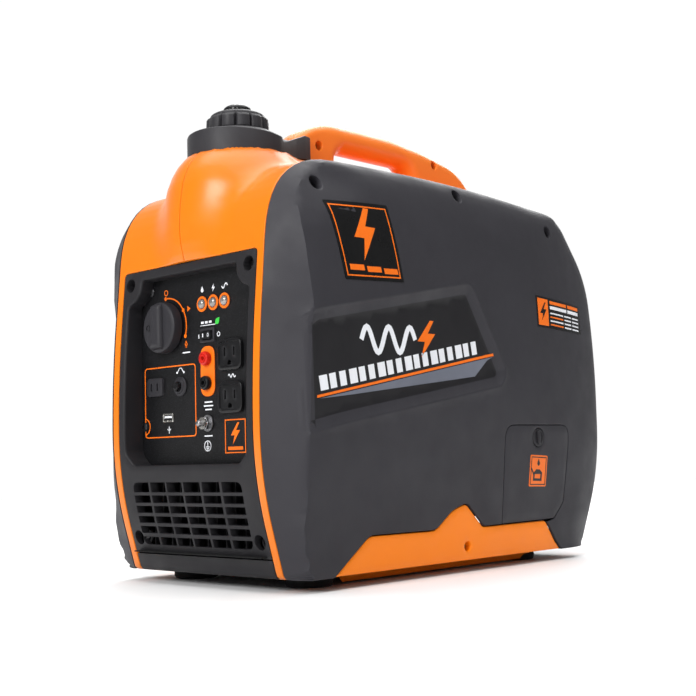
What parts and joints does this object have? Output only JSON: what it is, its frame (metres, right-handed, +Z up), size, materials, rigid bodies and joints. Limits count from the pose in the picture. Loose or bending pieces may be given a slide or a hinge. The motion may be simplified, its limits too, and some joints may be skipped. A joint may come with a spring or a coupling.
{
  "type": "inverter generator",
  "caption": "Closed suitcase inverter generator with carrying handle, recessed control panel with outlets, filler cap, side oil door, recoil starter and rubber feet.",
  "frame": {"origin": "centre of the footprint on the ground under the feet", "axes": "+Z up, -Y the control panel side, +X the side with the oil door"},
  "size_m": [0.2896, 0.5004, 0.455],
  "materials": {
    "cover_grey": "fine matte moulded texture",
    "casing_orange": "semi-gloss moulded",
    "bezel_black": "fine matte moulded texture",
    "control_black": "satin moulded",
    "panel_black": "finely speckled",
    "jack_orange": "satin",
    "jack_red": "satin",
    "lamp_lens": "clear lens in an orange ring",
    "rubber_black": "moulded rubber",
    "alloy": "as cast",
    "steel": "turned or pressed",
    "nickel": "nickel plated",
    "winding": "varnished copper on iron",
    "dipstick_yellow": "satin",
    "boot_grey": "satin",
    "rope_white": "braided cord"
  },
  "bodies": {
    "casing": {"cover_right": "cover_grey", "cover_left": "cover_grey", "frame_right": "casing_orange", "frame_left": "casing_orange", "sill_right": "casing_orange", "sill_left": "casing_orange", "front_cover": "bezel_black", "rear_cover": "bezel_black", "bottom_tray": "bezel_black", "cap_collar": "bezel_black", "fuel_tank": "bezel_black", "air_cleaner": "bezel_black", "valve_cover": "bezel_black", "eco_switch_frame": "control_black", "parallel_jack_black": "control_black", "outlet_upper": "control_black", "outlet_lower": "control_black", "dc_socket": "control_black", "usb_port": "control_black", "ignition_coil": "control_black", "recoil_housing": "control_black", "control_panel": "panel_black", "jack_plate": "jack_orange", "parallel_jack_red": "jack_red", "lamp_oil": "lamp_lens", "lamp_overload": "lamp_lens", "lamp_output": "lamp_lens", "foot_front_right": "rubber_black", "foot_front_left": "rubber_black", "foot_rear_right": "rubber_black", "foot_rear_left": "rubber_black", "fuel_hose": "rubber_black", "engine_mount_front": "rubber_black", "engine_mount_rear": "rubber_black", "fuel_valve": "alloy", "crankcase": "alloy", "cylinder": "alloy", "carburetor": "alloy", "inverter_module": "alloy", "dc_breaker_bush": "steel", "muffler": "steel", "ground_bolt": "nickel", "ground_nut": "nickel", "stator": "winding", "oil_dipstick": "dipstick_yellow", "spark_plug": "boot_grey"},
    "cap_seal": {"cap_gasket": "rubber_black"},
    "fuel_cap": {"fuel_cap": "control_black"},
    "vent_knob": {"vent_knob": "control_black"},
    "engine_dial": {"engine_dial": "control_black"},
    "eco_rocker": {"eco_switch_rocker": "control_black"},
    "breaker_button": {"dc_breaker_button": "control_black"},
    "oil_door": {"oil_door": "cover_grey"},
    "door_knob": {"oil_door_knob": "control_black"},
    "recoil_pull": {"recoil_grip": "control_black", "recoil_rope": "rope_white"},
    "recoil_spool": {"recoil_reel": "control_black"},
    "crank_train": {"crankshaft": "steel", "rotor": "steel", "cooling_fan": "control_black"}
  },
  "joints": [
    {"name": "cap_lift", "type": "slide", "parent": "casing", "child": "cap_seal", "axis": [0, 0, 1], "range_m": [0, 0.06]},
    {"name": "cap_turn", "type": "hinge", "parent": "cap_seal", "child": "fuel_cap", "pos_m": [0, -0.177, 0.43], "axis": [0, 0, 1], "range_deg": [0, 180]},
    {"name": "vent_turn", "type": "hinge", "parent": "fuel_cap", "child": "vent_knob", "pos_m": [0, -0.177, 0.45], "axis": [0, 0, 1], "range_deg": [0, 90]},
    {"name": "dial_turn", "type": "hinge", "parent": "casing", "child": "engine_dial", "pos_m": [-0.047, -0.228, 0.2385], "axis": [0, 1, 0], "range_deg": [0, 100]},
    {"name": "eco_rock", "type": "hinge", "parent": "casing", "child": "eco_rocker", "pos_m": [0.0128, -0.2285, 0.2266], "axis": [0, 0, 1], "range_deg": [-8, 8]},
    {"name": "breaker_press", "type": "slide", "parent": "casing", "child": "breaker_button", "axis": [0, 1, 0], "range_m": [0, 0.003], "stiffness_N_per_m": 400, "springref_m": -0.001},
    {"name": "door_tilt", "type": "hinge", "parent": "casing", "child": "oil_door", "pos_m": [0.1345, 0.09, 0.0445], "axis": [0, 1, 0], "range_deg": [0, 75]},
    {"name": "door_knob_turn", "type": "hinge", "parent": "oil_door", "child": "door_knob", "pos_m": [0.14, 0.0994, 0.128], "axis": [1, 0, 0], "range_deg": [0, 90]},
    {"name": "recoil_draw", "type": "slide", "parent": "casing", "child": "recoil_pull", "axis": [-1, 0, 0], "range_m": [0, 0.7], "stiffness_N_per_m": 20, "springref_m": -0.05},
    {"name": "reel_spin", "type": "hinge", "parent": "casing", "child": "recoil_spool", "pos_m": [-0.119, 0.025, 0.135], "axis": [1, 0, 0], "range_deg": [0, 820]},
    {"name": "crank_spin", "type": "hinge", "parent": "casing", "child": "crank_train", "pos_m": [-0.03, 0.025, 0.135], "axis": [1, 0, 0], "continuous": true}
  ],
  "couplings": [
    {"joint": "reel_spin", "follows": "recoil_draw", "rad_per_m": 20}
  ]
}
